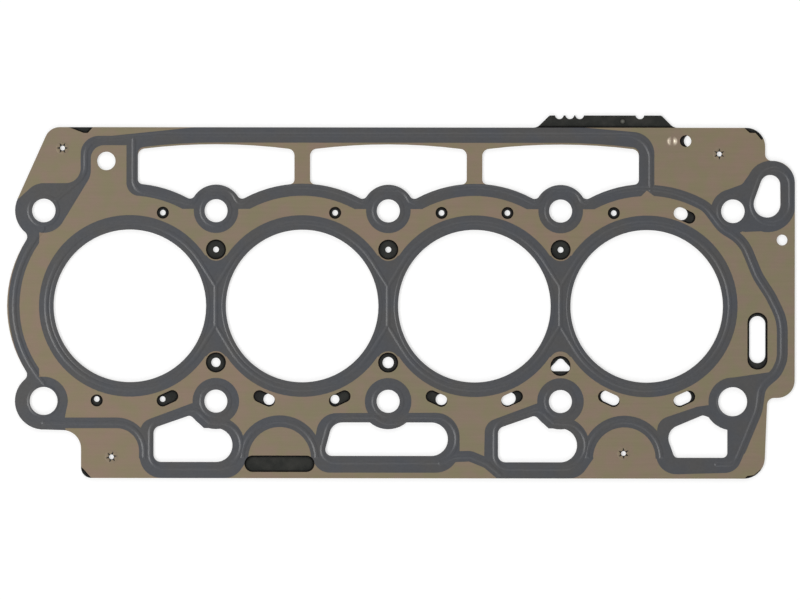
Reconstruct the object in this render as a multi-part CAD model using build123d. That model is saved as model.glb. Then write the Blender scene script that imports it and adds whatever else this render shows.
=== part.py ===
from build123d import *
import os
from math import atan, degrees, sqrt

# Multi-layer steel cylinder head gasket of an in-line four-cylinder engine: two thin beaded
# sheets with a printed seal on their outer faces, a thick black spacer between them that
# carries the thickness tab, four combustion stopper rings and four hollow rivets.
#
# Frame: origin at the middle of the line of cylinder centres, on the plane the gasket lies
# on. +X runs along the engine, +Y towards the edge with the tab, +Z up. Millimetres.
# Corners of outlines are written as (across, up, corner radius) from a named centre.

# --- Engine grid -------------------------------------------------------------------------
CYLINDERS = 4
BORE_PITCH = 85.75
BORE_RADIUS = 38.0
BOLT_ROW = 47.4
BOLT_RADIUS = 5.75
END_BOLT_RADIUS = 5.9
DOWEL_RADIUS_LEFT = 7.0
DOWEL_RADIUS_RIGHT = 7.25

BORES = [Vector((i - (CYLINDERS - 1) / 2) * BORE_PITCH, 0) for i in range(CYLINDERS)]
UPPER = [Vector((k - CYLINDERS / 2) * BORE_PITCH, BOLT_ROW) for k in range(CYLINDERS + 1)]
LOWER = [Vector(bolt.X, -BOLT_ROW) for bolt in UPPER]

# --- Layers, from the plane the gasket lies on upwards -----------------------------------
PRINT_THICKNESS = 0.05
SHEET_THICKNESS = 0.25
SPACER_THICKNESS = 0.85
STOPPER_THICKNESS = 0.10
BEAD_HEIGHT = 0.20
LAND_HEIGHT = 0.15
BEAD_WIDTH = 2.4
BEAD_CREST = 0.8
FLANK_RUN = (BEAD_WIDTH - BEAD_CREST) / 2

LOWER_SHEET_TOP = PRINT_THICKNESS + BEAD_HEIGHT + SHEET_THICKNESS
SPACER_TOP = LOWER_SHEET_TOP + SPACER_THICKNESS
TALL = 4 * SPACER_TOP

# --- Outline -----------------------------------------------------------------------------
TOP_MARGIN = 41.5
BOTTOM_MARGIN = 38.3
BOSS_RADIUS = 14.25
END_ARC_RADIUS = 61.05
NECK_FILLET = 3.0

# --- Windows -----------------------------------------------------------------------------
SCALLOP_RADIUS = 60.9
UPPER_BOSS_RADIUS = 13.0
LOWER_BOSS_RADIUS = 13.9
RIB_HALF_WIDTH = 3.87
RIB_FOOT_UP = 9.0
WINDOW_END_OFFSET = 3.9
WINDOW_CORNER = 3.5
VALLEY_FILLET = 2.5
WINDOW_TOP_END = 30.5
WINDOW_TOP_MIDDLE = 33.1

# --- Small holes -------------------------------------------------------------------------
PASSAGE_ACROSS = 16.4
PASSAGE_UP = 46.4
PASSAGE_RADIUS = 3.0
SLOT_RUN = (4.8, 2.2)
SHEET_SHIFT = 0.7
METERING_RADIUS = 1.4
BRIDGE_HOLE_UP = 28.1
BRIDGE_HOLE_RADIUS = 5.0
BRIDGE_METERING_RADIUS = 1.45
BRIDGE_METERING_LOWER = {1: 2.3, 2: 2.8}
LAST_BRIDGE_DROP = 1.6
END_SLOT_SHEET = (28.4, 10.0)
END_SLOT_SHEET_PLACE = (55.15, -17.2)
END_SLOT_SPACER = (23.4, 8.0)
END_SLOT_SPACER_PLACE = (55.1, -16.45)
TOOLING_UP = 34.9
TOOLING_SHEET = (-23.6, 2.9)
TOOLING_SPACER = (-21.3, 3.1)
OIL_FEED_PLACE = (31.1, 24.7)
OIL_FEED_RADIUS = 4.6
VENT_PLACE = (24.5, -14.3)
VENT_RADIUS = 2.7

# --- Printed seal ------------------------------------------------------------------------
BORE_PRINT_RADIUS = 45.2
BRIDGE_PRINT_GAP = 0.6
BRIDGE_PRINT_LAP = 2.0
WINDOW_RIM = 0.8
SCALLOP_PRINT_RADIUS = 54.9
UPPER_RING_RADIUS = 11.1
LOWER_RING_RADIUS = 11.6
DOWEL_RING_RADIUS = 12.1
END_RIM_WIDTH = 0.65
END_RIM_REACH = 32.0
RIGHT_BAND_WIDTH = 5.4
LINK_WIDTH = 5.3
ARCH_INNER_RADIUS = 15.6
ARCH_OUTER_RADIUS = 21.4

# --- Beads -------------------------------------------------------------------------------
BORE_BEAD_RADIUS = 41.5
SCALLOP_BEAD_RADIUS = 57.7
SCALLOP_BEAD_VERTEX = 66.05
TOP_BEAD_UP = 37.8
BRIDGE_BEAD_HALF_LENGTH = 9.7
LAND_RADIUS = 8.3
STOPPER_WIDTH = 1.6
STOPPER_CLEARANCE = 0.1
STOPPER_FLANK = 0.5
END_BEAD_INSET = 0.5
LOOP_MARGIN = 3.0
LOOP_SHIFT = 1.5
TRANSFER_LOOP_SHIFT = 2.0
MARK = (-30.3, 34.8)
MARK_RADIUS = 1.55
MARK_WIDTH = 1.3
MARK_HEIGHT = 0.12
MARK_FLANK = 0.5

# --- Rivets ------------------------------------------------------------------------------
RIVET_HOLE_RADIUS = 1.2
RIVET_BARREL_RADIUS = 1.55
RIVET_CLEARANCE = 0.05
RIVET_HEAD_RADIUS = 3.3
RIVET_HEAD_THICKNESS = 0.12
RIVET_PETALS = 6
RIVET_GAP_FOOT = 1.35
RIVET_GAP_RADIUS = 2.9
RIVET_GAP_WIDTH = 1.3
RIVET_WINDOW_RADIUS = 3.0
RIVET_FLANGE_RADIUS = 2.8
RIVET_FLANGE_THICKNESS = 0.15
RIVETS = [
    UPPER[0] + Vector(9.3, 31.1), UPPER[-1] + Vector(-6.8, 28.5),
    LOWER[0] + Vector(33.8, -27.8), LOWER[3] + Vector(31.45, -25.8),
]

# --- Label window and ident tab ----------------------------------------------------------
LABEL_PLACE = (31.7, -31.1)
LABEL_SIZE = (34.9, 8.2)
TAB_UP = 47.6
TAB_NOTCHES = (-0.7, 4.5, 9.4, 39.4)
TAB_NOTCH_RADIUS = 2.2
TAB_DIMPLE = (30.8, 44.7)
TAB_DIMPLE_RADIUS = 1.5
TAB_DIMPLE_DEPTH = 0.3


# --- Drawing helpers ---------------------------------------------------------------------
def at(centre, *corners):
    """Corners (across, up, corner radius) measured from a centre."""
    return [(centre.X + across, centre.Y + up, radius) for across, up, radius in corners]


def path(corners, close=False):
    """Straight runs joined by tangent arcs, through corners (x, y, corner radius)."""
    points = [(x, y) for x, y, _ in corners]
    radii = [radius for _, _, radius in corners]
    if not close:
        radii = radii[1:-1]
    return FilletPolyline(*points, radius=radii, close=close)


def outline(corners):
    """Face inside a closed path."""
    return make_face(path(corners, close=True).edges())


def disc(centre, radius):
    return Pos(centre.X, centre.Y) * Circle(radius)


def annulus(centre, inner, outer):
    return disc(centre, outer) - disc(centre, inner)


def box_face(low_x, high_x, low_y, high_y):
    return Pos((low_x + high_x) / 2, (low_y + high_y) / 2) * Rectangle(high_x - low_x, high_y - low_y)


def band(corners, width):
    """Strip of constant width with round ends along an open path."""
    return make_face(path(corners).wire().offset_2d(width / 2).edges())


def hull(*discs):
    """Face stretched round discs given as (centre, radius)."""
    edges = [edge for centre, radius in discs for edge in disc(centre, radius).edges()]
    return make_hull(edges)


def capsule(start, end, radius):
    """Slot shape between two centres."""
    return hull((start, radius), (end, radius))


def joined(faces):
    """One sketch from overlapping faces."""
    total = Sketch()
    for face in faces:
        total += face
    return total


# --- Plan of the layers ------------------------------------------------------------------
def sheet_plan():
    """Silhouette that every layer shares, without holes."""
    body = outline([
        *at(UPPER[0], (3.0, TOP_MARGIN, 7.5), (-12.95, 5.95, 0), (0, 0, 0)),
        *at(LOWER[0], (0, 0, 0), (-1.5, -14.15, 0), (18.7, -14.75, 9.2), (18.7, -BOTTOM_MARGIN, 5.2)),
        *at(LOWER[-1], (15.6, -BOTTOM_MARGIN, 10.5), (17.2, 1.9, 3.5), (30.8, 1.9, 8.7)),
        *at(UPPER[-1], (30.8, 25.1, 11.0), (16.0, 25.1, 3.3), (16.0, TOP_MARGIN, 9.3)),
    ])
    left_end = disc(BORES[0], END_ARC_RADIUS) + disc(UPPER[0], BOSS_RADIUS) + disc(LOWER[0], BOSS_RADIUS)
    plan = body + left_end
    necks = plan.vertices().filter_by(lambda v: v.X < UPPER[0].X - 5 and abs(v.Y) < BOLT_ROW - 5)
    return fillet(necks, NECK_FILLET)


def upper_window(left, right):
    """Port window over the cylinders: bowed top edge, scalloped bottom edge."""
    middle = (left + right) / 2
    top = BOLT_ROW + WINDOW_TOP_END
    floor = BOLT_ROW
    edges = [
        Line((left, floor), (left, top)),
        ThreePointArc((left, top), (middle, BOLT_ROW + WINDOW_TOP_MIDDLE), (right, top)),
        Line((right, top), (right, floor)),
        Line((right, floor), (left, floor)),
    ]
    window = make_face(Curve() + edges)
    for bore in BORES:
        window -= disc(bore, SCALLOP_RADIUS)
    for bolt in UPPER:
        window -= disc(bolt, UPPER_BOSS_RADIUS)
    tops = window.vertices().filter_by(lambda v: v.Y > top - 1)
    window = fillet(tops, WINDOW_CORNER)
    lows = window.vertices().filter_by(lambda v: v.Y < top - 15)
    return fillet(lows, VALLEY_FILLET)


def upper_windows():
    ribs = [bore.X for bore in BORES[1:-1]]
    lefts = [BORES[0].X + WINDOW_END_OFFSET, *[x + RIB_HALF_WIDTH for x in ribs]]
    rights = [*[x - RIB_HALF_WIDTH for x in ribs], BORES[-1].X - WINDOW_END_OFFSET]
    return [upper_window(left, right) for left, right in zip(lefts, rights)]


def drain_window(bolt):
    """Oil return window beside a lower bolt."""
    body = outline(at(
        bolt,
        (-31.05, -30.3, 3.7), (-31.05, -13.4, 3.7), (-12.7, -7.0, 2.5),
        (-5.9, -13.4, 0), (8.3, -13.4, 8.4), (8.3, -30.3, 8.4),
    ))
    return body - disc(bolt, LOWER_BOSS_RADIUS)


def middle_window():
    bolt = LOWER[2]
    body = outline(at(
        bolt,
        (-32.2, -27.2, 3.2), (-27.7, -10.5, 6.5), (29.75, -10.5, 8.3), (29.75, -27.2, 8.3),
    ))
    return body - disc(bolt, LOWER_BOSS_RADIUS)


def dowel_window():
    dowel = LOWER[-1]
    body = outline(at(
        dowel,
        (-28.9, -27.95, 2.5), (-33.7, -14.6, 6.5), (-14.9, -6.7, 2.0), (-2.6, -11.0, 0), (-2.6, -27.95, 2.5),
    ))
    return body - disc(dowel, BOSS_RADIUS)


def transfer_opening(grow=0):
    """Coolant transfer opening at the right-hand end, grown all round."""
    low = UPPER[-1] + Vector(17.0, 3.6)
    high = UPPER[-1] + Vector(18.6, 13.1)
    return hull((low, 6.7 + grow), (high, 5.0 + grow))


def windows():
    return [
        *upper_windows(),
        drain_window(LOWER[1]), middle_window(), drain_window(LOWER[3]), dowel_window(),
        transfer_opening(),
    ]


# --- Holes -------------------------------------------------------------------------------
def fastener_holes():
    """Bores, head bolt holes, dowel holes and two plain passages, alike in every layer."""
    holes = [disc(bore, BORE_RADIUS) for bore in BORES]
    holes += [disc(bolt, BOLT_RADIUS) for bolt in [*UPPER[1:-1], *LOWER[1:-1]]]
    holes += [disc(bolt, END_BOLT_RADIUS) for bolt in [UPPER[0], UPPER[-1]]]
    holes += [disc(LOWER[0], DOWEL_RADIUS_LEFT), disc(LOWER[-1], DOWEL_RADIUS_RIGHT)]
    holes.append(disc(UPPER[0] + Vector(*OIL_FEED_PLACE), OIL_FEED_RADIUS))
    holes.append(disc(UPPER[-1] + Vector(*VENT_PLACE), VENT_RADIUS))
    return holes


def passage(bore, across, up):
    """Centre of the coolant passage beside a bore; across and up are -1 or 1."""
    return Vector(bore.X + across * PASSAGE_ACROSS, up * PASSAGE_UP)


def passage_slot(bore, across, up, radius, share=1.0):
    """Passage drawn out towards the neighbouring bolt by a share of the full run."""
    start = passage(bore, across, up)
    run = Vector(across * SLOT_RUN[0], up * -SLOT_RUN[1]) * share
    return capsule(start, start + run, radius)


ROUND_PASSAGES = [(0, 1, 1), (1, 1, 1), (2, -1, 1), (2, 1, 1), (3, -1, 1), (0, -1, -1)]
SLOT_PASSAGES = [
    # bore, side, row, spacer opening radius, share of the run that is open in the spacer
    (3, 1, 1, 3.0, 0.2), (0, 1, -1, METERING_RADIUS, 0.0), (1, -1, -1, 2.8, 0.0), (1, 1, -1, 2.2, 0.0),
    (2, -1, -1, 2.8, 0.0), (2, 1, -1, 3.0, 0.25), (3, -1, -1, 2.85, 0.75), (3, 1, -1, 3.0, 0.6),
]


def end_slot(place, size):
    """Upright slot beside the last bore."""
    centre = BORES[-1] + Vector(*place)
    return Pos(centre.X, centre.Y) * SlotOverall(*size, rotation=90)


def tooling_hole(across, radius):
    """Round hole in the upper right corner."""
    return disc(UPPER[-1] + Vector(across, TOOLING_UP), radius)


def sheet_holes():
    """Openings of the two active sheets that differ from those of the spacer."""
    rounds = [disc(passage(BORES[i], across, up), PASSAGE_RADIUS) for i, across, up in ROUND_PASSAGES]
    slots = [passage_slot(BORES[i], across, up, PASSAGE_RADIUS) for i, across, up, _, _ in SLOT_PASSAGES]
    holes = [hole if hole.center().Y > 0 else Pos(0, -SHEET_SHIFT) * hole for hole in [*rounds, *slots]]
    for bolt in UPPER[1:-1]:
        holes.append(disc(Vector(bolt.X, BRIDGE_HOLE_UP), BRIDGE_HOLE_RADIUS))
    for bolt in LOWER[1:-2]:
        holes.append(disc(Vector(bolt.X, -BRIDGE_HOLE_UP), BRIDGE_HOLE_RADIUS))
    holes.append(disc(Vector(LOWER[-2].X, -BRIDGE_HOLE_UP - LAST_BRIDGE_DROP), BRIDGE_HOLE_RADIUS))
    holes.append(end_slot(END_SLOT_SHEET_PLACE, END_SLOT_SHEET))
    holes.append(tooling_hole(*TOOLING_SHEET))
    return holes


def spacer_holes():
    """Metering openings of the spacer."""
    holes = [disc(passage(BORES[i], across, up), METERING_RADIUS) for i, across, up in ROUND_PASSAGES]
    for i, across, up, radius, share in SLOT_PASSAGES:
        if share:
            holes.append(passage_slot(BORES[i], across, up, radius, share))
        else:
            holes.append(disc(passage(BORES[i], across, up), radius))
    holes += [disc(Vector(bolt.X, BRIDGE_HOLE_UP), BRIDGE_METERING_RADIUS) for bolt in UPPER[1:-1]]
    for k, radius in BRIDGE_METERING_LOWER.items():
        holes.append(disc(Vector(LOWER[k].X, -BRIDGE_HOLE_UP), radius))
    holes.append(outline(at(
        Vector(LOWER[3].X, -BRIDGE_HOLE_UP),
        (0, 2.9, 2.0), (-6.7, -4.2, 1.5), (6.7, -4.2, 1.5),
    )))
    holes.append(end_slot(END_SLOT_SPACER_PLACE, END_SLOT_SPACER))
    holes.append(tooling_hole(*TOOLING_SPACER))
    return holes


# --- Printed seal ------------------------------------------------------------------------
def bore_print():
    """Coating round the row of bores, carried on between neighbours to the bridge holes."""
    face = joined([disc(bore, BORE_PRINT_RADIUS) for bore in BORES])
    top = BRIDGE_HOLE_UP - BRIDGE_HOLE_RADIUS + BRIDGE_PRINT_LAP
    half = BORE_PITCH / 2 - sqrt(BORE_PRINT_RADIUS ** 2 - top ** 2)
    for bolt in UPPER[1:-1]:
        face += box_face(bolt.X - half, bolt.X + half, -top, top)
    for bolt in UPPER[1:-1]:
        for up in (-1, 1):
            face -= disc(Vector(bolt.X, up * BRIDGE_HOLE_UP), BRIDGE_HOLE_RADIUS + BRIDGE_PRINT_GAP)
    return face


def end_rim():
    """Sliver left bare outside the coating of the left end: widest at its middle."""
    across = sqrt(END_ARC_RADIUS ** 2 - END_RIM_REACH ** 2)
    tips = [(BORES[0].X - across, side * END_RIM_REACH) for side in (1, -1)]
    inner = ThreePointArc(tips[0], (BORES[0].X - END_ARC_RADIUS + END_RIM_WIDTH, 0), tips[1])
    outside = [(BORES[0].X - 2 * END_ARC_RADIUS, side * END_RIM_REACH) for side in (-1, 1)]
    return make_face([inner, *Polyline(tips[1], *outside, tips[0]).edges()])


def left_coat(plan):
    """Coating of the crescent outside the first bore and of its two bosses."""
    area = box_face(2 * UPPER[0].X, UPPER[0].X - 2.2, LOWER[0].Y - BOSS_RADIUS, UPPER[0].Y + 5.95)
    link = outline([
        *at(UPPER[0], (-14.9, 3.7, 0), (-4.0, 13.6, 10), (18.4, 13.6, 7.5), (18.3, 37.1, 9)),
        *at(UPPER[0], (33.8, 37.2, 0), (75.2, TOP_MARGIN, 0), (75.2, 32.6, 0), (23.4, 32.5, 6.5)),
        *at(UPPER[0], (23.4, 17.2, 10), (9.3, -6.0, 0), (0, 0, 0)),
    ])
    corner = LOWER[0]
    boss = box_face(corner.X - 2.2, corner.X + 10.9, corner.Y - 15, corner.Y - 10.9)
    gusset = outline(at(corner, (0, 0, 0), (11.5, -3.8, 0), (10.6, -8.4, 0), (0, -8.4, 0)))
    crescent = (plan & area) - [disc(BORES[0], SCALLOP_PRINT_RADIUS), end_rim()]
    return joined([crescent, link, boss, gusset])


def window_frame():
    """Coating round the three port windows, left off the ribs between them."""
    frame = outline([
        *at(UPPER[1], (-44.6, 7.3, 6.5), (-44.6, 37.9, 0), (-10.6, TOP_MARGIN, 0)),
        *at(UPPER[3], (12.1, TOP_MARGIN, 0), (46.6, 38.5, 11), (46.6, 0.9, 0)),
        *at(UPPER[1], (-38.0, 0.9, 0), (-38.0, 7.3, 0)),
    ])
    rib_top = BOLT_ROW + WINDOW_TOP_MIDDLE + WINDOW_RIM
    ribs = box_face(UPPER[1].X, UPPER[3].X, BOLT_ROW + RIB_FOOT_UP, rib_top)
    for bore in BORES:
        frame -= disc(bore, SCALLOP_PRINT_RADIUS)
        ribs -= disc(bore, SCALLOP_RADIUS)
    for bolt in UPPER:
        ribs -= disc(bolt, UPPER_BOSS_RADIUS)
    return frame - ribs


def drain_pad(bolt):
    return outline(at(
        bolt,
        (-38.1, -BOTTOM_MARGIN, 11), (-37.6, -10.6, 7), (-11.9, -1.0, 3), (0, 0, 0), (0, -7.6, 0),
        (14.4, -7.6, 14.3), (14.4, -24.0, 0), (16.5, -28.2, 0), (9.5, -BOTTOM_MARGIN, 10),
    ))


def middle_pad():
    return outline(at(
        LOWER[2],
        (-39.1, -35.5, 8.5), (-34.2, -5.9, 10), (35.6, -5.6, 12), (35.6, -35.5, 12),
    ))


def dowel_pad():
    return outline(at(
        LOWER[-1],
        (-38.6, -36.4, 10), (-37.4, -9.2, 7), (-17.7, -2.5, 4),
        (0, 0, 0), (14.7, -4.8, 0), (1.6, -35.3, 8.5),
    ))


def arch_centre(bolt):
    return bolt + Vector(31.8, -28.4)


def arch(bolt):
    """Coated arch over the free space beside a drain window."""
    centre = arch_centre(bolt)
    upper_half = box_face(centre.X - BORE_PITCH, centre.X + BORE_PITCH, centre.Y, centre.Y + BORE_PITCH)
    return annulus(centre, ARCH_INNER_RADIUS, ARCH_OUTER_RADIUS) & upper_half


def lower_link_line():
    return at(LOWER[0], (0.1, -10.9, 0), (50.2, -10.8, 13.8), (50.2, -27.5, 0))


def small_arch_line():
    return at(
        LOWER[2],
        (25.9, -30.7, 0), (33.3, -27.5, 5), (40.8, -27.2, 5), (49.3, -30.7, 5), (55.8, -36.2, 0),
    )


def right_line():
    """Centre line of the seal that runs down the right-hand end."""
    return [
        *at(UPPER[-1], (-50, 10.4, 0), (-28.6, 10.4, 57.7), (-13.1, 2.1, 12.4), (-5.3, -8.3, 12.4)),
        *at(UPPER[-1], (5.1, -14.5, 19.9)),
        *at(BORES[-1], (55.2, 15.2, 29.9), (61.7, 5.2, 19.9), (67.5, -6.7, 24.9), (67.5, -26.6, 14.9)),
        *at(LOWER[-1], (21.6, 14.3, 10), (13.7, 7.6, 10), (12.2, -4.1, 19.9), (3.9, -24.0, 0)),
    ]


def right_coat():
    """Coating of the right-hand end: band, transfer opening pad and their gussets."""
    corner = UPPER[-1]
    gussets = [
        outline(at(corner, (0, 0, 0), (-5.3, -8.3, 0), (6.1, -10.3, 0), (17.0, -9.8, 0), (17.0, 3.8, 0))),
        outline(at(corner, (0, 0, 0), (-2.6, 10.8, 0), (4.6, 13.4, 4.0), (8.1, 18.4, 0), (18.6, 13.1, 0))),
        outline(at(
            LOWER[-1],
            (0, 0, 0), (-0.8, 11.9, 0), (18.7, 14.8, 0), (19.5, 12.6, 0), (12.8, 4.5, 0),
        )),
    ]
    pad = hull((corner + Vector(17.3, 3.4), 13.8), (corner + Vector(19.0, 13.0), 12.2))
    return joined([band(right_line(), RIGHT_BAND_WIDTH), pad, *gussets])


def port_print(plan):
    """Coating of everything outside the bores, clear of a rim above each port window."""
    rings = [disc(bolt, UPPER_RING_RADIUS) for bolt in UPPER]
    rings += [disc(bolt, LOWER_RING_RADIUS) for bolt in LOWER[1:-1]]
    rings += [disc(LOWER[0], DOWEL_RING_RADIUS), disc(LOWER[-1], DOWEL_RING_RADIUS)]
    links = [
        left_coat(plan), window_frame(), right_coat(),
        drain_pad(LOWER[1]), drain_pad(LOWER[3]), middle_pad(), dowel_pad(),
        arch(LOWER[1]), arch(LOWER[3]),
        band(lower_link_line(), LINK_WIDTH), band(small_arch_line(), LINK_WIDTH),
    ]
    nick = outline(at(UPPER[3], (39.0, 6.4, 0), (42.9, 10.3, 0), (48.0, 6.3, 0)))
    nick -= disc(BORES[-1], SCALLOP_PRINT_RADIUS)
    rims = [Pos(0, WINDOW_RIM) * window for window in upper_windows()]
    return (joined([*rings, *links]) & plan) - [nick, *rims]


# --- Beads -------------------------------------------------------------------------------
def bore_loop(bore):
    """Closed bead round a bore, drawn in to straight sides between neighbours."""
    faces = []
    for grow in (BEAD_WIDTH / 2, -BEAD_WIDTH / 2):
        edges = [*disc(bore, BORE_BEAD_RADIUS + grow).edges()]
        reach = BORE_PITCH / 2 + grow
        for side in (-1, 1):
            x = bore.X + side * reach
            if abs(bore.X + side * BORE_PITCH) <= abs(BORES[0].X):
                edges.append(Line((x, -BRIDGE_BEAD_HALF_LENGTH), (x, BRIDGE_BEAD_HALF_LENGTH)))
        faces.append(make_hull(edges))
    return faces[0] - faces[1]


def window_loop(window, shift):
    """Closed bead round a window, set off to one side of it."""
    outer = offset(window, LOOP_MARGIN + BEAD_WIDTH / 2)
    inner = offset(window, LOOP_MARGIN - BEAD_WIDTH / 2)
    return Pos(shift, 0) * (outer - inner)


def upper_line():
    """Bead over the left boss, round the three port windows and down to the last scallop."""
    line = at(UPPER[0], (6.0, 5.0, 0), (20.9, 17.5, 10), (20.9, 34.8, 7.8), (60.0, TOP_BEAD_UP, 60))
    return line + at(UPPER[3], (44.8, TOP_BEAD_UP, 12), (44.8, 10.4, 0))


def scallop_line():
    """Bead under the port windows: from the left wall over bolts and round bores."""
    line = at(UPPER[1], (-40.9, 36.6, 0), (-40.9, 10.4, 6))
    for bore, bolt in zip(BORES[1:], UPPER[1:-1]):
        line += at(bolt, (-11.5, 3.2, 3), (-7.5, 10.7, 6.5), (7.5, 10.7, 6.5), (11.5, 3.2, 3))
        line.append((bore.X, SCALLOP_BEAD_VERTEX, SCALLOP_BEAD_RADIUS))
    return line


def right_bead_line():
    """Bead down the right-hand end and under the last window."""
    line = right_line()
    return line[3:-1] + at(LOWER[-1], (1.0, -31.2, 5), (-8.0, -31.2, 0))


def bead_faces():
    """Every bead outside the bores, one face each."""
    radius = (SCALLOP_PRINT_RADIUS + END_ARC_RADIUS) / 2 - END_BEAD_INSET
    end = annulus(BORES[0], radius - BEAD_WIDTH / 2, radius + BEAD_WIDTH / 2)
    end &= box_face(2 * UPPER[0].X, UPPER[0].X + 1, LOWER[0].Y + 6, UPPER[0].Y - 6)
    turn = right_line()[2]
    joint = at(UPPER[-1], (-9.2, -3.1, 0))
    lines = [
        upper_line(), [*scallop_line(), turn, *joint], [*joint, *right_bead_line()],
        lower_link_line(), small_arch_line(),
    ]
    loops = [window_loop(window, LOOP_SHIFT) for window in (drain_window(LOWER[1]), middle_window())]
    loops.append(window_loop(drain_window(LOWER[3]), LOOP_SHIFT))
    open_side = box_face(LOWER[-1].X - 2.4, LOWER[-1].X + BOSS_RADIUS, LOWER[-1].Y - 29.0, LOWER[-1].Y)
    loops.append(window_loop(dowel_window(), LOOP_SHIFT) - open_side)
    loops.append(window_loop(transfer_opening(), TRANSFER_LOOP_SHIFT))
    arches = []
    middle = (ARCH_INNER_RADIUS + ARCH_OUTER_RADIUS) / 2
    for bolt in (LOWER[1], LOWER[3]):
        centre = arch_centre(bolt)
        ring = annulus(centre, middle - BEAD_WIDTH / 2, middle + BEAD_WIDTH / 2)
        arches.append(ring & box_face(bolt.X, bolt.X + BORE_PITCH, centre.Y, bolt.Y))
    return [end, *[band(line, BEAD_WIDTH) for line in lines], *loops, *arches]


def ridge(face, height, run):
    """Pressed ridge over a face: sloping flanks of the given run up to a flat crest."""
    return extrude(face, height, taper=degrees(atan(run / height)))


def bead_relief():
    """Beads and bolt lands, pressed up out of a flat sheet that stands on the plane z = 0."""
    bore_beads = ridge(joined([bore_loop(bore) for bore in BORES]), BEAD_HEIGHT, FLANK_RUN)
    beads = [ridge(face, BEAD_HEIGHT, FLANK_RUN) for face in bead_faces()]
    lands = [ridge(disc(bolt, LAND_RADIUS), LAND_HEIGHT, FLANK_RUN) for bolt in [*UPPER, *LOWER]]
    return bore_beads + [*beads, *lands]


def stopper_lands():
    """Low plateaus that make room for the stopper rings under the top sheet."""
    radius = BORE_RADIUS + STOPPER_WIDTH + STOPPER_CLEARANCE + STOPPER_FLANK
    return [ridge(disc(bore, radius), STOPPER_THICKNESS, STOPPER_FLANK) for bore in BORES]


def pressed_mark():
    """Small ring pressed up in the top sheet, between the last port window and the end."""
    ring = annulus(UPPER[-1] + Vector(*MARK), MARK_RADIUS - MARK_WIDTH / 2, MARK_RADIUS + MARK_WIDTH / 2)
    return ridge(ring, MARK_HEIGHT, MARK_FLANK)


def follow(shape, low, thickness):
    """Sheet of even thickness that follows a relief, standing at a height, still untrimmed."""
    reach = CYLINDERS * BORE_PITCH
    blank = Pos(0, 0, low) * extrude(box_face(-reach, reach, -reach, reach), thickness)
    return (blank + Pos(0, 0, low + thickness) * shape) - Pos(0, 0, low) * shape


# --- Faces of the layers -----------------------------------------------------------------
def tab():
    """Ident tab of the spacer with three close notches and a single one."""
    corner = UPPER[3]
    face = outline(at(
        corner,
        (-20.0, TOP_MARGIN, 0), (-11.8, TOP_MARGIN, 4.8), (-5.6, TAB_UP, 1.5),
        (50.1, TAB_UP, 1.5), (56.2, TOP_MARGIN, 4.8), (64.4, TOP_MARGIN, 0),
        (64.4, TOP_MARGIN - 2, 0), (-20.0, TOP_MARGIN - 2, 0),
    ))
    for across in TAB_NOTCHES:
        face -= disc(corner + Vector(across, TAB_UP + 0.4), TAB_NOTCH_RADIUS)
    return face


def rivet_holes(radius):
    return [disc(place, radius) for place in RIVETS]


def corner_notches():
    """Slivers cut from the top sheet's corners, where the spacer shows."""
    return [
        outline(at(UPPER[0], (11.0, 42.0, 0), (19.9, 38.6, 1), (21.9, 38.6, 1), (24.8, 42.0, 0))),
        outline(at(
            UPPER[-1],
            (5.0, 42.0, 0), (8.3, 39.0, 1), (11.2, 39.0, 0),
            (14.2, 35.5, 0), (17.0, 38.0, 0), (14.0, 42.0, 0),
        )),
        outline(at(LOWER[0], (17.9, -32.0, 0), (20.3, -34.2, 0), (25.0, -39.6, 0), (17.0, -39.6, 0))),
        outline(at(
            LOWER[-1],
            (4.9, -39.5, 0), (7.2, -36.9, 1), (10.6, -36.5, 1),
            (14.0, -33.6, 0), (18.0, -36.0, 0), (15.0, -40.0, 0),
        )),
    ]


def label_window():
    """Slot in the top sheet through which a plain patch of the spacer shows."""
    centre = LOWER[1] + Vector(*LABEL_PLACE)
    return Pos(centre.X, centre.Y) * SlotOverall(*LABEL_SIZE)


# --- Layers ------------------------------------------------------------------------------
plan = sheet_plan()
common_cuts = [*windows(), *fastener_holes()]
lower_face = plan - [*common_cuts, *sheet_holes(), *rivet_holes(RIVET_BARREL_RADIUS + RIVET_CLEARANCE)]
upper_cuts = [*rivet_holes(RIVET_WINDOW_RADIUS), *corner_notches(), label_window()]
upper_face = plan - [*common_cuts, *sheet_holes(), *upper_cuts]
spacer_cuts = [*common_cuts, *spacer_holes(), *rivet_holes(RIVET_BARREL_RADIUS + RIVET_CLEARANCE)]
spacer_face = (plan + tab()) - spacer_cuts
bore_coat = bore_print()
port_coat = port_print(plan)

lower_relief = bead_relief()
upper_relief = lower_relief + [*stopper_lands(), pressed_mark()]
lower_sheet = follow(lower_relief, 0, SHEET_THICKNESS)
lower_skin = follow(lower_relief, SHEET_THICKNESS, PRINT_THICKNESS)
upper_sheet = follow(upper_relief, 0, SHEET_THICKNESS)
upper_skin = follow(upper_relief, SHEET_THICKNESS, PRINT_THICKNESS)


def below(layer, face):
    """Layer of the lower set, trimmed and mirrored so that its beads point down."""
    return Pos(0, 0, LOWER_SHEET_TOP) * mirror(layer & extrude(face, TALL), Plane.XY)


def above(layer, face):
    """Layer of the upper set, trimmed and set on the spacer."""
    return Pos(0, 0, SPACER_TOP) * (layer & extrude(face, TALL))


layers = {
    "lower_bore_seal_print": below(lower_skin, bore_coat & lower_face),
    "lower_port_seal_print": below(lower_skin, port_coat & lower_face),
    "lower_active_sheet": below(lower_sheet, lower_face),
    "spacer_sheet": Pos(0, 0, LOWER_SHEET_TOP) * extrude(spacer_face, SPACER_THICKNESS),
    "upper_active_sheet": above(upper_sheet, upper_face),
    "upper_bore_seal_print": above(upper_skin, bore_coat & upper_face),
    "upper_port_seal_print": above(upper_skin, port_coat & upper_face),
}

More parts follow.
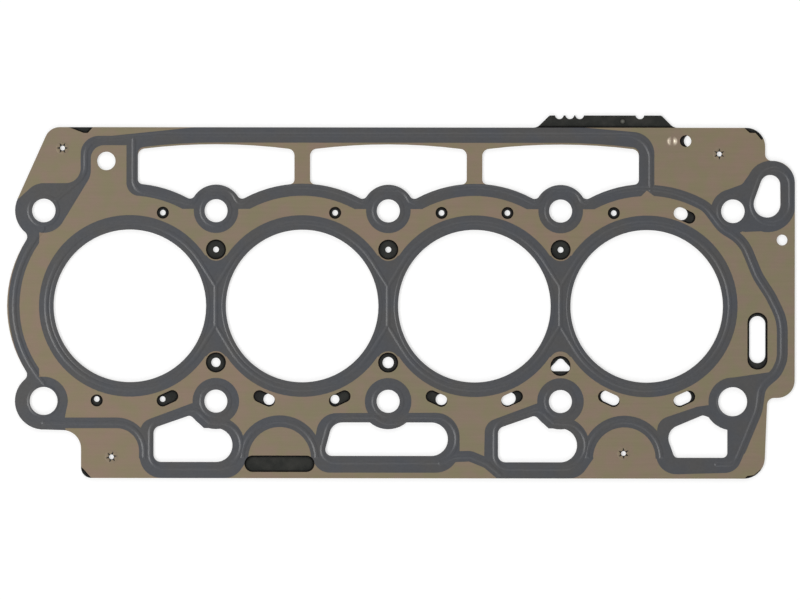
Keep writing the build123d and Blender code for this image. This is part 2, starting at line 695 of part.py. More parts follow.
dimple = UPPER[3] + Vector(*TAB_DIMPLE)
dent = extrude(Circle(TAB_DIMPLE_RADIUS), TAB_DIMPLE_DEPTH)
layers["spacer_sheet"] -= Pos(dimple.X, dimple.Y, SPACER_TOP - TAB_DIMPLE_DEPTH) * dent

# --- Stopper rings -----------------------------------------------------------------------
for number, bore in enumerate(BORES, start=1):
    ring = extrude(annulus(bore, BORE_RADIUS, BORE_RADIUS + STOPPER_WIDTH), STOPPER_THICKNESS)
    layers[f"stopper_ring_{number}"] = Pos(0, 0, SPACER_TOP) * ring


# --- Rivets ------------------------------------------------------------------------------
def hollow_rivet():
    """Hollow rivet with a flange below and a head split into petals above."""
    head_low = SPACER_TOP + SHEET_THICKNESS
    flange_low = LOWER_SHEET_TOP - SHEET_THICKNESS - RIVET_FLANGE_THICKNESS
    barrel = Pos(0, 0, flange_low) * extrude(Circle(RIVET_BARREL_RADIUS), head_low - flange_low)
    flange = Pos(0, 0, flange_low) * extrude(Circle(RIVET_FLANGE_RADIUS), RIVET_FLANGE_THICKNESS)
    petals = Circle(RIVET_HEAD_RADIUS)
    for turn in range(RIVET_PETALS):
        gap = Polygon(
            (RIVET_GAP_FOOT, RIVET_GAP_WIDTH / 2), (RIVET_GAP_FOOT, -RIVET_GAP_WIDTH / 2),
            (RIVET_GAP_RADIUS, 0), align=None,
        )
        petals -= Rot(0, 0, turn * 360 / RIVET_PETALS) * gap
    head = Pos(0, 0, head_low) * extrude(petals, RIVET_HEAD_THICKNESS)
    return barrel + flange + head - extrude(Circle(RIVET_HOLE_RADIUS), TALL)


for number, place in enumerate(RIVETS, start=1):
    layers[f"hollow_rivet_{number}"] = Pos(place.X, place.Y, 0) * hollow_rivet()

os.makedirs("parts", exist_ok=True)
for name, solid in layers.items():
    export_step(solid, f"parts/{name}.step")
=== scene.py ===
import logging
import math
from dataclasses import dataclass, field
from enum import Enum
from typing import Any

import bpy
import numpy as np
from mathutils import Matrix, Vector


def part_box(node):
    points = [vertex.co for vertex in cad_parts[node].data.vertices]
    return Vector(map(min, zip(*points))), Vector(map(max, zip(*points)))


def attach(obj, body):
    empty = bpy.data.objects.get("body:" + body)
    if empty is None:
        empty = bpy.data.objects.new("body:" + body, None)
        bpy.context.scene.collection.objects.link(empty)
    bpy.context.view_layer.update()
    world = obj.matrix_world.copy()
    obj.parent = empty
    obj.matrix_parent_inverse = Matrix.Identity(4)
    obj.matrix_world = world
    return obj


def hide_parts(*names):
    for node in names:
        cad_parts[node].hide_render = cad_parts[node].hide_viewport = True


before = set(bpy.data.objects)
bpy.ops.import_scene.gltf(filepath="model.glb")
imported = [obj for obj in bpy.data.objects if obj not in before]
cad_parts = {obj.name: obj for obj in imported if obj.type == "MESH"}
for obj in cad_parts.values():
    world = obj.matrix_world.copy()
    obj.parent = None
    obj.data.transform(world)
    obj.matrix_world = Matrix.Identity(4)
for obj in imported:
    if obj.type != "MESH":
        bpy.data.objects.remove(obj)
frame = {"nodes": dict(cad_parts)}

# Looks of a multi-layer steel cylinder head gasket: finishes for its packed layers, clinched
# rivets with curled petals, and a plain studio with a pale floor. Metres, in the frame of the
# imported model; sizes named in millimetres are turned to metres by MM.

MM = 0.001
LOG = logging.getLogger("gasket")


class Side(Enum):
    """The two mirrored sets of beaded layers."""

    UPPER = "upper"
    LOWER = "lower"


# --- Node and mesh helpers ---------------------------------------------------------------
def linear(hex_colour: str) -> tuple[float, float, float, float]:
    """Turns an sRGB colour into the linear one that a shader takes.

    By the sRGB standard, light is the code over 12.92 near black, and above 0.04045 it is the
    code plus 0.055, over 1.055, to the power of 2.4.

    Args:
        hex_colour: Six hex digits after a hash, such as "#857663".

    Returns:
        Linear red, green and blue from 0 to 1, and an alpha of 1.
    """
    code = np.array([int(hex_colour[i : i + 2], 16) for i in (1, 3, 5)]) / 255
    light = np.where(code <= 0.04045, code / 12.92, ((code + 0.055) / 1.055) ** 2.4)
    return (float(light[0]), float(light[1]), float(light[2]), 1.0)


def add_node(
    tree: bpy.types.NodeTree, kind: str, inputs: dict[str | int, Any] | None = None, **settings: Any
) -> bpy.types.Node:
    """Adds a node, sets its options and fills or links its inputs.

    Args:
        tree: Node tree that the node goes into.
        kind: Blender's name of the node type.
        inputs: A value, or a socket to link from, for each input by name or number.
        **settings: Options of the node itself.

    Returns:
        The new node.
    """
    node = tree.nodes.new(kind)
    for name, value in settings.items():
        setattr(node, name, value)
    for name, value in (inputs or {}).items():
        if isinstance(value, bpy.types.NodeSocket):
            tree.links.new(value, node.inputs[name])
        else:
            node.inputs[name].default_value = value
    return node


def start_material(name: str) -> tuple[bpy.types.Material, bpy.types.NodeTree]:
    """Makes a material with an empty node tree.

    Args:
        name: Name of the material.

    Returns:
        The material and its node tree.
    """
    material = bpy.data.materials.new(name)
    material.use_nodes = True
    material.node_tree.nodes.clear()
    return material, material.node_tree


def in_millimetres(
    tree: bpy.types.NodeTree, stretch: tuple[float, float, float] = (1, 1, 1)
) -> bpy.types.NodeSocket:
    """Gives the piece's own coordinates in millimetres, drawn out along the axes.

    Args:
        tree: Node tree that reads them.
        stretch: How many times longer a pattern gets along X, Y and Z.

    Returns:
        The socket with the coordinates.
    """
    place = add_node(tree, "ShaderNodeTexCoord").outputs["Object"]
    scale = tuple(1 / (MM * s) for s in stretch)
    return add_node(tree, "ShaderNodeMapping", {"Vector": place, "Scale": scale}).outputs["Vector"]


def dress(piece: bpy.types.Object, material: bpy.types.Material) -> None:
    """Puts one material on every slot of a piece."""
    for holder in piece.material_slots:
        holder.material = material


def closed_grid(name: str, points: np.ndarray, sharp: float) -> bpy.types.Object:
    """Makes a mesh over a grid of points that closes on itself both ways.

    Point (i, j) is joined to (i + 1, j), (i + 1, j + 1) and (i, j + 1), with both numbers
    starting again after the last one, so the mesh is a ring with no open edge.

    Args:
        name: Name of the piece.
        points: Array of rows by columns by 3, in metres.
        sharp: Angle in degrees from which an edge isn't shaded smooth.

    Returns:
        The piece's object, at the origin.
    """
    rows, columns = points.shape[:2]
    i, j = np.meshgrid(np.arange(rows), np.arange(columns), indexing="ij")
    around = [(i, j), (i + 1, j), (i + 1, j + 1), (i, j + 1)]
    faces = np.stack([(a % rows) * columns + b % columns for a, b in around], axis=-1)
    mesh = bpy.data.meshes.new(name)
    mesh.from_pydata(points.reshape(-1, 3).tolist(), [], faces.reshape(-1, 4).tolist())
    mesh.shade_smooth()
    mesh.set_sharp_from_angle(angle=math.radians(sharp))
    piece = bpy.data.objects.new(name, mesh)
    bpy.context.scene.collection.objects.link(piece)
    return piece


# --- Finishes ----------------------------------------------------------------------------
# Each pattern's field gives the distance between its patches or lines in millimetres. A field
# whose name ends in run gives the two values of a pattern, a distance or an openness between
# which a colour, shade or roughness goes from one end to the other. Depths are in millimetres.
@dataclass(frozen=True)
class VarnishedSteel:
    """Cold-rolled stainless spring steel under a thin baked varnish.

    The varnish gives the steel its tan colour, with soft clouds of rose and moss where the
    film is thicker or thinner. The rolled steel below shows as fine lines along the strip.
    On the small ring that the punch has pressed, a painted highlight turns its left and right
    sides pale and metallic, stronger on the right.
    """

    tan: str = "#80705b"
    olive: str = "#776f59"
    rose: str = "#856f64"
    moss: str = "#7b7458"
    # Painted highlight: pale metal colour for the left and right sides of the pressed ring.
    painted_highlight: str = "#d3c7b4"
    tint_share: float = 0.5
    drift: float = 120.0
    patch: float = 8.0
    cloud_run: tuple[float, float] = (0.35, 0.65)
    grain: float = 0.9
    grain_length: float = 30.0
    grain_run: tuple[float, float] = (0.3, 0.7)
    grain_shade: tuple[float, float] = (0.97, 1.03)
    grain_depth: float = 0.003
    peel: float = 1.4
    peel_depth: float = 0.004
    metallic: tuple[float, float] = (0.2, 1.0)
    roughness: tuple[float, float] = (0.46, 0.54)
    specular: float = 0.25
    # Where the pressed ring lies, and the reach, softness and left-to-right strength of its painted
    # highlight.
    mark: tuple[float, float, float] = (141.2, 82.2, 0)
    mark_reach: tuple[float, float] = (0.7, 2.4)
    mark_soft: float = 0.4
    mark_strength: tuple[float, float] = (0.6, 0.95)

    def in_light(self, tree: bpy.types.NodeTree, place: bpy.types.NodeSocket) -> bpy.types.NodeSocket:
        """Gives the share of painted highlight on the pressed ring: up to 1 on its left and right
        sides, and 0 elsewhere.

        The share is that of the inner and outer edge of the ring, each soft by mark_soft to
        both sides, times the square of the cosine of the angle between the place and the X
        axis. It grows from the first number of mark_strength on the left to the second on
        the right, so the painted highlight is stronger on the right.

        Args:
            tree: Node tree that it goes into.
            place: Coordinates in millimetres.

        Returns:
            The socket with the share.
        """
        vector, number = "ShaderNodeVectorMath", "ShaderNodeMath"
        flat = add_node(tree, vector, {0: place, 1: (1, 1, 0)}, operation="MULTIPLY").outputs[0]
        away = add_node(tree, vector, {0: flat, 1: self.mark}, operation="SUBTRACT").outputs[0]
        reach = add_node(tree, vector, {0: away}, operation="LENGTH").outputs["Value"]
        unit = add_node(tree, vector, {0: away}, operation="NORMALIZE").outputs[0]
        across = add_node(tree, "ShaderNodeSeparateXYZ", {0: unit}).outputs["X"]
        share = add_node(tree, number, {0: across, 1: across}, operation="MULTIPLY").outputs[0]
        (low, high), soft = self.mark_reach, self.mark_soft
        for start, end, first, last, source in (
            (low - soft, low + soft, 0, 1, reach),
            (high - soft, high + soft, 1, 0, reach),
            (-1, 1, *self.mark_strength, across),
        ):
            values = {"Value": source, "From Min": start, "From Max": end, "To Min": first, "To Max": last}
            part = add_node(tree, "ShaderNodeMapRange", values).outputs["Result"]
            share = add_node(tree, number, {0: share, 1: part}, operation="MULTIPLY").outputs[0]
        return share

    def material(self) -> bpy.types.Material:
        """Builds the material.

        Returns:
            The finished material.
        """
        material, tree = start_material("varnished_spring_steel")
        place = in_millimetres(tree)
        low, high = self.cloud_run
        values = {"Vector": place, "Scale": 1 / self.drift}
        slow = add_node(tree, "ShaderNodeTexNoise", values).outputs["Fac"]
        slow = add_node(tree, "ShaderNodeMapRange", {"Value": slow, "From Min": low, "From Max": high})
        values = {0: slow.outputs["Result"], 6: linear(self.tan), 7: linear(self.olive)}
        base = add_node(tree, "ShaderNodeMix", values, data_type="RGBA").outputs[2]
        values = {"Vector": place, "Scale": 1 / self.patch, "Detail": 3}
        hue = add_node(tree, "ShaderNodeTexNoise", values).outputs["Fac"]
        hue = add_node(tree, "ShaderNodeMapRange", {"Value": hue, "From Min": low, "From Max": high})
        values = {0: hue.outputs["Result"], 6: linear(self.rose), 7: linear(self.moss)}
        tint = add_node(tree, "ShaderNodeMix", values, data_type="RGBA").outputs[2]
        values = {0: self.tint_share, 6: base, 7: tint}
        colour = add_node(tree, "ShaderNodeMix", values, data_type="RGBA").outputs[2]

        along = in_millimetres(tree, (self.grain_length, self.grain, 1))
        values = {"Vector": along, "Scale": 1, "Detail": 3}
        lines = add_node(tree, "ShaderNodeTexNoise", values).outputs["Fac"]
        low, high = self.grain_run
        values = {"Value": lines, "From Min": low, "From Max": high}
        darker, lighter = self.grain_shade
        shade = add_node(tree, "ShaderNodeMapRange", {**values, "To Min": darker, "To Max": lighter})
        shade = add_node(tree, "ShaderNodeCombineColor", dict.fromkeys((0, 1, 2), shade.outputs["Result"]))
        mixed = {0: 1.0, 6: colour, 7: shade.outputs[0]}
        colour = add_node(tree, "ShaderNodeMix", mixed, data_type="RGBA", blend_type="MULTIPLY").outputs[2]
        smooth, rough = self.roughness
        rough = add_node(tree, "ShaderNodeMapRange", {**values, "To Min": smooth, "To Max": rough})

        # Painted highlight on the pressed ring's left and right sides: pale colour and full metallic.
        highlight_share = self.in_light(tree, place)
        mixed = {0: highlight_share, 6: colour, 7: linear(self.painted_highlight)}
        colour = add_node(tree, "ShaderNodeMix", mixed, data_type="RGBA").outputs[2]
        coated, metal = self.metallic
        metal = add_node(tree, "ShaderNodeMapRange", {"Value": highlight_share, "To Min": coated, "To Max": metal})
        values = {"Vector": place, "Scale": 1 / self.peel}
        peel = add_node(tree, "ShaderNodeTexNoise", values).outputs["Fac"]
        relief = add_node(tree, "ShaderNodeBump", {"Height": peel, "Distance": self.peel_depth * MM})
        values = {"Height": lines, "Distance": self.grain_depth * MM, "Normal": relief.outputs["Normal"]}
        relief = add_node(tree, "ShaderNodeBump", values)
        values = {
            "Base Color": colour, "Metallic": metal.outputs["Result"],
            "Roughness": rough.outputs["Result"], "Specular IOR Level": self.specular,
            "Normal": relief.outputs["Normal"],
        }
        shader = add_node(tree, "ShaderNodeBsdfPrincipled", values).outputs[0]
        add_node(tree, "ShaderNodeOutputMaterial", {"Surface": shader})
        return material


@dataclass(frozen=True)
class PrintedElastomer:
    """Grey fluoroelastomer laid on the steel by screen printing.

    It is matte and a little soft at its surface. The screen leaves a fine even grain, whose
    real pitch of a few tenths of a millimetre is drawn as 1.1 mm so that it shows.
    """

    grey: str = "#434446"
    cool: str = "#40434a"
    warm: str = "#474543"
    tint_share: float = 0.55
    patch: float = 16.0
    patch_run: tuple[float, float] = (0.35, 0.65)
    screen: float = 1.1
    screen_run: tuple[float, float] = (0.3, 0.7)
    screen_shade: tuple[float, float] = (0.95, 1.05)
    screen_depth: float = 0.010
    roughness: tuple[float, float] = (0.31, 0.37)
    specular: float = 0.36

    def material(self) -> bpy.types.Material:
        """Builds the material.

        Returns:
            The finished material.
        """
        material, tree = start_material("printed_elastomer")
        place = in_millimetres(tree)
        values = {"Vector": place, "Scale": 1 / self.patch, "Detail": 3}
        hue = add_node(tree, "ShaderNodeTexNoise", values).outputs["Fac"]
        low, high = self.patch_run
        hue = add_node(tree, "ShaderNodeMapRange", {"Value": hue, "From Min": low, "From Max": high})
        values = {0: hue.outputs["Result"], 6: linear(self.cool), 7: linear(self.warm)}
        tint = add_node(tree, "ShaderNodeMix", values, data_type="RGBA").outputs[2]
        values = {0: self.tint_share, 6: linear(self.grey), 7: tint}
        colour = add_node(tree, "ShaderNodeMix", values, data_type="RGBA").outputs[2]
        values = {"Vector": place, "Scale": 1 / self.screen}
        grain = add_node(tree, "ShaderNodeTexNoise", values).outputs["Fac"]
        low, high = self.screen_run
        values = {"Value": grain, "From Min": low, "From Max": high}
        darker, lighter = self.screen_shade
        shade = add_node(tree, "ShaderNodeMapRange", {**values, "To Min": darker, "To Max": lighter})
        shade = add_node(tree, "ShaderNodeCombineColor", dict.fromkeys((0, 1, 2), shade.outputs["Result"]))
        mixed = {0: 1.0, 6: colour, 7: shade.outputs[0]}
        colour = add_node(tree, "ShaderNodeMix", mixed, data_type="RGBA", blend_type="MULTIPLY").outputs[2]
        smooth, rough = self.roughness
        rough = add_node(tree, "ShaderNodeMapRange", {**values, "To Min": smooth, "To Max": rough})
        relief = add_node(tree, "ShaderNodeBump", {"Height": grain, "Distance": self.screen_depth * MM})
        values = {
            "Base Color": colour, "Metallic": 0.0, "Roughness": rough.outputs["Result"],
            "Specular IOR Level": self.specular, "Normal": relief.outputs["Normal"],
        }
        shader = add_node(tree, "ShaderNodeBsdfPrincipled", values).outputs[0]
        add_node(tree, "ShaderNodeOutputMaterial", {"Surface": shader})
        return material


@dataclass(frozen=True)
class BlackCoatedSteel:
    """Spacer steel under a thin black conversion coat.

    The coat is dull and dark grey where it lies open, as on the tab. Painted shade makes it
    almost black near walls: down a hole in the sheet above, or at an edge. A painted
    highlight lightens the small dent of the tab.
    """

    # Painted shade: near black for hollows and edges.
    black: str = "#040404"
    in_light: str = "#2d2e2c"
    worn: str = "#3a3a37"
    # Painted highlight: lighter grey in the tab's dent.
    painted_highlight: str = "#6a6a64"
    patch: float = 5.0
    patch_run: tuple[float, float] = (0.4, 0.7)
    grain: float = 1.2
    grain_run: tuple[float, float] = (0.3, 0.7)
    grain_depth: float = 0.006
    roughness: tuple[float, float] = (0.5, 0.6)
    specular: float = 0.05
    # Painted shade: reach in millimetres, openness run and samples of the ambient occlusion that darkens
    # the coat.
    painted_shade_reach: float = 4.0
    painted_shade_run: tuple[float, float] = (0.96, 1.0)
    painted_shade_samples: int = 32
    dent: tuple[float, float, float] = (116.55, 92.1, 1.05)
    dent_run: tuple[float, float] = (0.3, 1.5)

    def material(self) -> bpy.types.Material:
        """Builds the material.

        Returns:
            The finished material.
        """
        material, tree = start_material("black_coated_steel")
        place = in_millimetres(tree)
        values = {"Vector": place, "Scale": 1 / self.patch, "Detail": 4}
        cloud = add_node(tree, "ShaderNodeTexNoise", values).outputs["Fac"]
        # Painted shade: ambient occlusion, the openness of each place to the sky, turns the coat almost
        # black near walls.
        kind, values = "ShaderNodeAmbientOcclusion", {"Distance": self.painted_shade_reach * MM}
        sky = add_node(tree, kind, values, samples=self.painted_shade_samples).outputs["AO"]
        # Painted highlight: lighter grey fading out from the middle of the tab's dent.
        values = {0: place, 1: self.dent}
        away = add_node(tree, "ShaderNodeVectorMath", values, operation="DISTANCE").outputs["Value"]
        colour = linear(self.in_light)
        # The worn patches are the coat's own; the near black is painted shade and the lighter dent a
        # painted highlight.
        for source, (low, high), first, last, other in (
            (cloud, self.patch_run, 0, 1, self.worn),
            (sky, self.painted_shade_run, 1, 0, self.black),
            (away, self.dent_run, 1, 0, self.painted_highlight),
        ):
            values = {"Value": source, "From Min": low, "From Max": high, "To Min": first, "To Max": last}
            share = add_node(tree, "ShaderNodeMapRange", values).outputs["Result"]
            values = {0: share, 6: colour, 7: linear(other)}
            colour = add_node(tree, "ShaderNodeMix", values, data_type="RGBA").outputs[2]
        values = {"Vector": place, "Scale": 1 / self.grain}
        grain = add_node(tree, "ShaderNodeTexNoise", values).outputs["Fac"]
        (low, high), (smooth, rough) = self.grain_run, self.roughness
        values = {"Value": grain, "From Min": low, "From Max": high, "To Min": smooth, "To Max": rough}
        rough = add_node(tree, "ShaderNodeMapRange", values)
        relief = add_node(tree, "ShaderNodeBump", {"Height": grain, "Distance": self.grain_depth * MM})
        values = {
            "Base Color": colour, "Metallic": 0.0, "Roughness": rough.outputs["Result"],
            "Specular IOR Level": self.specular, "Normal": relief.outputs["Normal"],
        }
        shader = add_node(tree, "ShaderNodeBsdfPrincipled", values).outputs[0]
        add_node(tree, "ShaderNodeOutputMaterial", {"Surface": shader})
        return material


@dataclass(frozen=True)
class BareStainless:
    """Bare stainless strip of the stopper rings, rolled bright with fine lines along it."""

    steel: str = "#b9b5ad"
    grain: float = 0.8
    grain_length: float = 20.0
    grain_run: tuple[float, float] = (0.3, 0.7)
    grain_depth: float = 0.002
    roughness: tuple[float, float] = (0.28, 0.38)

    def material(self) -> bpy.types.Material:
        """Builds the material.

        Returns:
            The finished material.
        """
        material, tree = start_material("bare_stainless")
        along = in_millimetres(tree, (self.grain_length, self.grain, 1))
        lines = add_node(tree, "ShaderNodeTexNoise", {"Vector": along, "Scale": 1}).outputs["Fac"]
        (low, high), (smooth, rough) = self.grain_run, self.roughness
        values = {"Value": lines, "From Min": low, "From Max": high, "To Min": smooth, "To Max": rough}
        rough = add_node(tree, "ShaderNodeMapRange", values)
        relief = add_node(tree, "ShaderNodeBump", {"Height": lines, "Distance": self.grain_depth * MM})
        values = {
            "Base Color": linear(self.steel), "Metallic": 1.0,
            "Roughness": rough.outputs["Result"], "Normal": relief.outputs["Normal"],
        }
        shader = add_node(tree, "ShaderNodeBsdfPrincipled", values).outputs[0]
        add_node(tree, "ShaderNodeOutputMaterial", {"Surface": shader})
        return material


@dataclass(frozen=True)
class ClinchedSteel:
    """The varnished steel of a rivet, dark in the slits between its petals.

    The attribute "slit" is 1 at the foot of a slit, where the black spacer shows; there the
    colour is painted nearly black, darker than the spacer's open coat, as painted shade.
    """

    tan: str = "#7c6f5e"
    curl: str = "#82745f"
    # Painted shade: the black spacer in a slit, darker than its open coat.
    black: str = "#0d0c0b"
    grain: float = 0.7
    grain_run: tuple[float, float] = (0.35, 0.65)
    grain_depth: float = 0.006
    metallic: float = 0.2
    roughness: float = 0.5
    specular: float = 0.25

    def material(self) -> bpy.types.Material:
        """Builds the material.

        Returns:
            The finished material.
        """
        material, tree = start_material("clinched_varnished_steel")
        place = in_millimetres(tree)
        slit = add_node(tree, "ShaderNodeAttribute", attribute_name="slit").outputs["Fac"]
        values = {"Vector": place, "Scale": 1 / self.grain}
        cloud = add_node(tree, "ShaderNodeTexNoise", values).outputs["Fac"]
        low, high = self.grain_run
        hue = add_node(tree, "ShaderNodeMapRange", {"Value": cloud, "From Min": low, "From Max": high})
        values = {0: hue.outputs["Result"], 6: linear(self.tan), 7: linear(self.curl)}
        colour = add_node(tree, "ShaderNodeMix", values, data_type="RGBA").outputs[2]
        # Painted shade at the foot of each slit.
        values = {0: slit, 6: colour, 7: linear(self.black)}
        colour = add_node(tree, "ShaderNodeMix", values, data_type="RGBA").outputs[2]
        values = {"Value": slit, "To Min": self.metallic, "To Max": 0.0}
        metal = add_node(tree, "ShaderNodeMapRange", values)
        relief = add_node(tree, "ShaderNodeBump", {"Height": cloud, "Distance": self.grain_depth * MM})
        values = {
            "Base Color": colour, "Metallic": metal.outputs["Result"], "Roughness": self.roughness,
            "Specular IOR Level": self.specular, "Normal": relief.outputs["Normal"],
        }
        shader = add_node(tree, "ShaderNodeBsdfPrincipled", values).outputs[0]
        add_node(tree, "ShaderNodeOutputMaterial", {"Surface": shader})
        return material


@dataclass
class Finishes:
    """Every material of the gasket, made once and shared by its pieces."""

    sheet: bpy.types.Material = field(default_factory=lambda: VarnishedSteel().material())
    seal: bpy.types.Material = field(default_factory=lambda: PrintedElastomer().material())
    spacer: bpy.types.Material = field(default_factory=lambda: BlackCoatedSteel().material())
    stopper: bpy.types.Material = field(default_factory=lambda: BareStainless().material())
    rivet: bpy.types.Material = field(default_factory=lambda: ClinchedSteel().material())


# --- Sub-assemblies ----------------------------------------------------------------------
@dataclass
class BeadedLayers:
    """One beaded sheet and the two fields of printed seal on its outer face."""

    side: Side
    nodes: dict[str, bpy.types.Object]

    def dress(self, finishes: Finishes) -> list[str]:
        """Gives the sheet and its seals their materials.

        Args:
            finishes: The gasket's materials.

        Returns:
            Names of the dressed pieces.
        """
        wanted = {
            f"{self.side.value}_active_sheet": finishes.sheet,
            f"{self.side.value}_bore_seal_print": finishes.seal,
            f"{self.side.value}_port_seal_print": finishes.seal,
        }
        for name, material in wanted.items():
            dress(self.nodes[name], material)
        return list(wanted)


@dataclass
class SpacerCore:
    """The thick middle layer with its ident tab, and the stopper rings that lie on it."""

    nodes: dict[str, bpy.types.Object]
    rings: int = 4

    def dress(self, finishes: Finishes) -> list[str]:
        """Gives the spacer and the rings their materials.

        Args:
            finishes: The gasket's materials.

        Returns:
            Names of the dressed pieces.
        """
        dress(self.nodes["spacer_sheet"], finishes.spacer)
        names = [f"stopper_ring_{number}" for number in range(1, self.rings + 1)]
        for name in names:
            dress(self.nodes[name], finishes.stopper)
        return ["spacer_sheet", *names]


@dataclass
class ClinchedRivets:
    """Hollow rivets whose upper ends are split into petals and curled outwards.

    hole, barrel, lower_flange, flat, head and slit_end are distances from the axis, and all
    lengths are in millimetres. spacer_top, sheet_top and slit_floor are heights.
    """

    petals: int = 6
    hole: float = 1.2
    barrel: float = 1.55
    lower_flange: float = 2.8
    flange_thickness: float = 0.15
    flange_chamfer: tuple[float, float] = (0.06, 0.03)
    hole_chamfer: float = 0.05
    flat: float = 2.3
    head: float = 3.3
    slit_end: float = 2.8
    slit_gap: float = 0.02
    slit_width: float = 1.2
    slit_taper: float = 0.75
    slit_soft: float = 0.15
    slit_floor: float = 1.36
    curl: float = 0.7
    dip: float = 0.16
    droop: float = 0.1
    spacer_top: float = 1.353
    sheet_top: float = 1.602
    rings: int = 36
    turns: tuple[float, ...] = (0.0, 30.0, 12.0, 32.0)
    steps: int = 192
    sharp: float = 50.0

    def profile(self, low: float, high: float) -> tuple[np.ndarray, np.ndarray, np.ndarray]:
        """Section of a rivet as a closed run, from the hole's rim outwards and back below.

        The top face is at high less dip times the square of how far a point lies into the
        curl at the hole, less droop times the square of how far it lies past the flat, both
        from 0 to 1.

        Args:
            low: Height of the rivet's foot, in millimetres.
            high: Height of the top of its head.

        Returns:
            Distances from the axis, heights, and 1 for the points of the top face or else 0.
        """
        top = np.linspace(self.hole, self.head, self.rings)
        rise = np.clip((self.hole + self.curl - top) / self.curl, 0, 1)
        fall = np.clip((top - self.flat) / (self.head - self.flat), 0, 1)
        crown = high - self.dip * rise**2 - self.droop * fall**2
        inner = self.slit_end + self.slit_gap
        flange, (cut_in, cut_up) = low + self.flange_thickness, self.flange_chamfer
        under = [
            (self.head, self.sheet_top), (inner, self.sheet_top),
            (inner, self.spacer_top), (self.barrel, self.spacer_top),
            (self.barrel, flange), (self.lower_flange, flange),
            (self.lower_flange, low + cut_up), (self.lower_flange - cut_in, low),
            (self.hole + self.hole_chamfer, low), (self.hole, low + self.hole_chamfer),
        ]
        distance = np.concatenate([top, [p[0] for p in under]])
        height = np.concatenate([crown, [p[1] for p in under]])
        return distance, height, np.concatenate([np.ones(len(top)), np.zeros(len(under))])

    def surface(self, low: float, high: float, ahead: float) -> tuple[np.ndarray, np.ndarray]:
        """Rivet about its axis: the section turned round, with a slit between two petals.

        A slit narrows from the hole to its end as what is left of its length to the power of
        slit_taper. How deep a point lies in it is the slit's half width there less the point's
        distance from the slit's middle, over slit_soft, between 0 and 1. The top face sinks by
        that share to slit_floor.

        Args:
            low: Height of the foot, in millimetres.
            high: Height of the head's top.
            ahead: Angle of the first slit, in degrees.

        Returns:
            Points as turns by section by 3, in millimetres, and the share in a slit of each.
        """
        distance, height, top = self.profile(low, high)
        turn = np.arange(self.steps) / self.steps * 2 * np.pi
        between = 2 * np.pi / self.petals
        off = (turn[:, None] - math.radians(ahead) + between / 2) % between - between / 2
        left = np.clip((self.slit_end - distance) / (self.slit_end - self.hole), 0, 1)
        width = self.slit_width / 2 * left**self.slit_taper
        depth = np.clip((width - np.abs(off) * distance) / self.slit_soft, 0, 1) * top
        sunk = height * (1 - depth) + np.minimum(height, self.slit_floor) * depth
        x, y = distance * np.cos(turn)[:, None], distance * np.sin(turn)[:, None]
        return np.stack([x, y, sunk + 0 * x], axis=-1), depth

    def build(self, finishes: Finishes) -> list[str]:
        """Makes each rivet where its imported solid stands.

        Args:
            finishes: The gasket's materials.

        Returns:
            Names of the new pieces.
        """
        names = []
        for number, ahead in enumerate(self.turns, start=1):
            node = f"hollow_rivet_{number}"
            low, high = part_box(node)
            middle = np.array([(low.x + high.x) / 2, (low.y + high.y) / 2, 0])
            points, depth = self.surface(low.z / MM, high.z / MM, ahead)
            piece = closed_grid(f"clinched_rivet_{number}", points * MM + middle, self.sharp)
            slit = piece.data.attributes.new("slit", "FLOAT", "POINT")
            slit.data.foreach_set("value", depth.astype(np.float32).ravel())
            piece.data.materials.append(finishes.rivet)
            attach(piece, "root")
            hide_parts(node)
            names.append(piece.name)
        return names


# --- Studio ------------------------------------------------------------------------------
@dataclass(frozen=True)
class SoftBox:
    """A square lamp that faces the middle of the gasket."""

    name: str
    size: float
    distance: float
    from_zenith: float
    heading: float
    watts: float

    def build(self) -> None:
        """Makes the lamp; angles are in degrees, lengths in metres."""
        data = bpy.data.lights.new(self.name, "AREA")
        data.shape, data.size, data.energy = "SQUARE", self.size, self.watts
        lamp = bpy.data.objects.new(self.name, data)
        tilt, heading = math.radians(self.from_zenith), math.radians(self.heading)
        lamp.location = [
            self.distance * math.sin(tilt) * math.cos(heading),
            self.distance * math.sin(tilt) * math.sin(heading),
            self.distance * math.cos(tilt),
        ]
        lamp.rotation_euler = (0, tilt, heading)
        lamp.visible_camera = False
        bpy.context.scene.collection.objects.link(lamp)


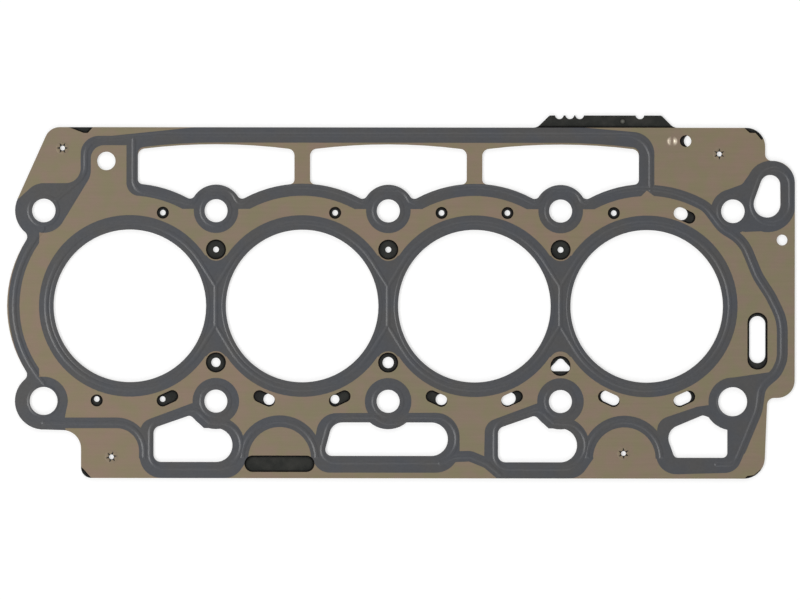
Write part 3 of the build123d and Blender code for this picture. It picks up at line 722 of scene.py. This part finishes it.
@dataclass
class Studio:
    """Pale floor, soft boxes around the gasket and a long lens straight above it."""

    view_width: float = 0.3984
    aim: tuple[float, float] = (0.00585, 0.00305)
    roll: float = 0.00114
    lens: float = 200.0
    sensor: float = 36.0
    clip: tuple[float, float] = (0.01, 100.0)
    floor_reach: float = 12.0
    floor_gap: float = 0.02
    floor_grey: str = "#b9b9b9"
    floor_glow: float = 0.6
    sky: float = 0.22
    boxes: tuple[SoftBox, ...] = (
        SoftBox("soft_box_left", 1.5, 4.0, 31.0, 192.0, 64.0),
        SoftBox("soft_box_far", 2.4, 4.0, 52.0, 90.0, 50.0),
        SoftBox("soft_box_near", 2.4, 4.0, 52.0, 270.0, 50.0),
    )

    def camera(self) -> None:
        """Looks straight down with the view's width on the plane of the gasket."""
        data = bpy.data.cameras.new("camera")
        data.lens, data.sensor_width = self.lens, self.sensor
        camera = bpy.data.objects.new("camera", data)
        height = self.view_width * self.lens / self.sensor
        camera.location = (*self.aim, height)
        camera.rotation_euler = (0, 0, self.roll)
        data.clip_start, data.clip_end = self.clip
        bpy.context.scene.collection.objects.link(camera)
        bpy.context.scene.camera = camera

    def floor(self) -> None:
        """Lays a flat pale floor just under the gasket, by a gap in millimetres.

        It is pale grey in the light that it throws back. Towards the camera and in reflections
        it also shines, so that it looks white and keeps a soft shadow.
        """
        r, z = self.floor_reach, -self.floor_gap * MM
        mesh = bpy.data.meshes.new("floor")
        mesh.from_pydata([(-r, -r, z), (r, -r, z), (r, r, z), (-r, r, z)], [], [(0, 1, 2, 3)])
        floor = bpy.data.objects.new("floor", mesh)
        bpy.context.scene.collection.objects.link(floor)
        material, tree = start_material("studio_floor")
        matte = add_node(tree, "ShaderNodeBsdfDiffuse", {"Color": linear(self.floor_grey)})
        strength = self.seen(tree, 0.0, self.floor_glow)
        glow = add_node(tree, "ShaderNodeEmission", {"Strength": strength})
        both = add_node(tree, "ShaderNodeAddShader", {0: matte.outputs[0], 1: glow.outputs[0]})
        add_node(tree, "ShaderNodeOutputMaterial", {"Surface": both.outputs[0]})
        mesh.materials.append(material)

    def seen(self, tree: bpy.types.NodeTree, unseen: float, seen: float) -> bpy.types.NodeSocket:
        """Gives one value to rays that see the background and another to all others.

        Args:
            tree: Node tree that it goes into.
            unseen: Value for the rays that carry light between surfaces.
            seen: Value for camera, mirror and glass rays.

        Returns:
            The socket with the value.
        """
        path = add_node(tree, "ShaderNodeLightPath")
        some = path.outputs["Is Camera Ray"]
        for kind in ("Glossy", "Transmission"):
            values = {0: some, 1: path.outputs[f"Is {kind} Ray"]}
            some = add_node(tree, "ShaderNodeMath", values, operation="MAXIMUM").outputs[0]
        values = {"Value": some, "To Min": unseen, "To Max": seen}
        return add_node(tree, "ShaderNodeMapRange", values).outputs["Result"]

    def light(self) -> None:
        """Sets up the sky's even light and the soft boxes."""
        world = bpy.data.worlds.new("studio")
        world.use_nodes = True
        tree = world.node_tree
        tree.nodes.clear()
        values = {"Color": (1, 1, 1, 1), "Strength": self.seen(tree, self.sky, 1.0)}
        sky = add_node(tree, "ShaderNodeBackground", values).outputs[0]
        add_node(tree, "ShaderNodeOutputWorld", {"Surface": sky})
        bpy.context.scene.world = world
        for box in self.boxes:
            box.build()

    def build(self) -> None:
        """Makes camera, floor and light."""
        self.camera()
        self.floor()
        self.light()
        bpy.context.scene.view_settings.view_transform = "Standard"


def main() -> None:
    """Builds the studio and the gasket's looks in order, and reports each piece."""
    logging.basicConfig(level=logging.INFO, format="%(name)s: %(message)s")
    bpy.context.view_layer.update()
    nodes = frame["nodes"]
    finishes = Finishes()
    Studio().build()
    made = []
    for side in Side:
        made += BeadedLayers(side, nodes).dress(finishes)
    made += SpacerCore(nodes).dress(finishes)
    made += ClinchedRivets().build(finishes)
    for name in made:
        LOG.info("%s is dressed", name)


if __name__ == "__main__":
    main()
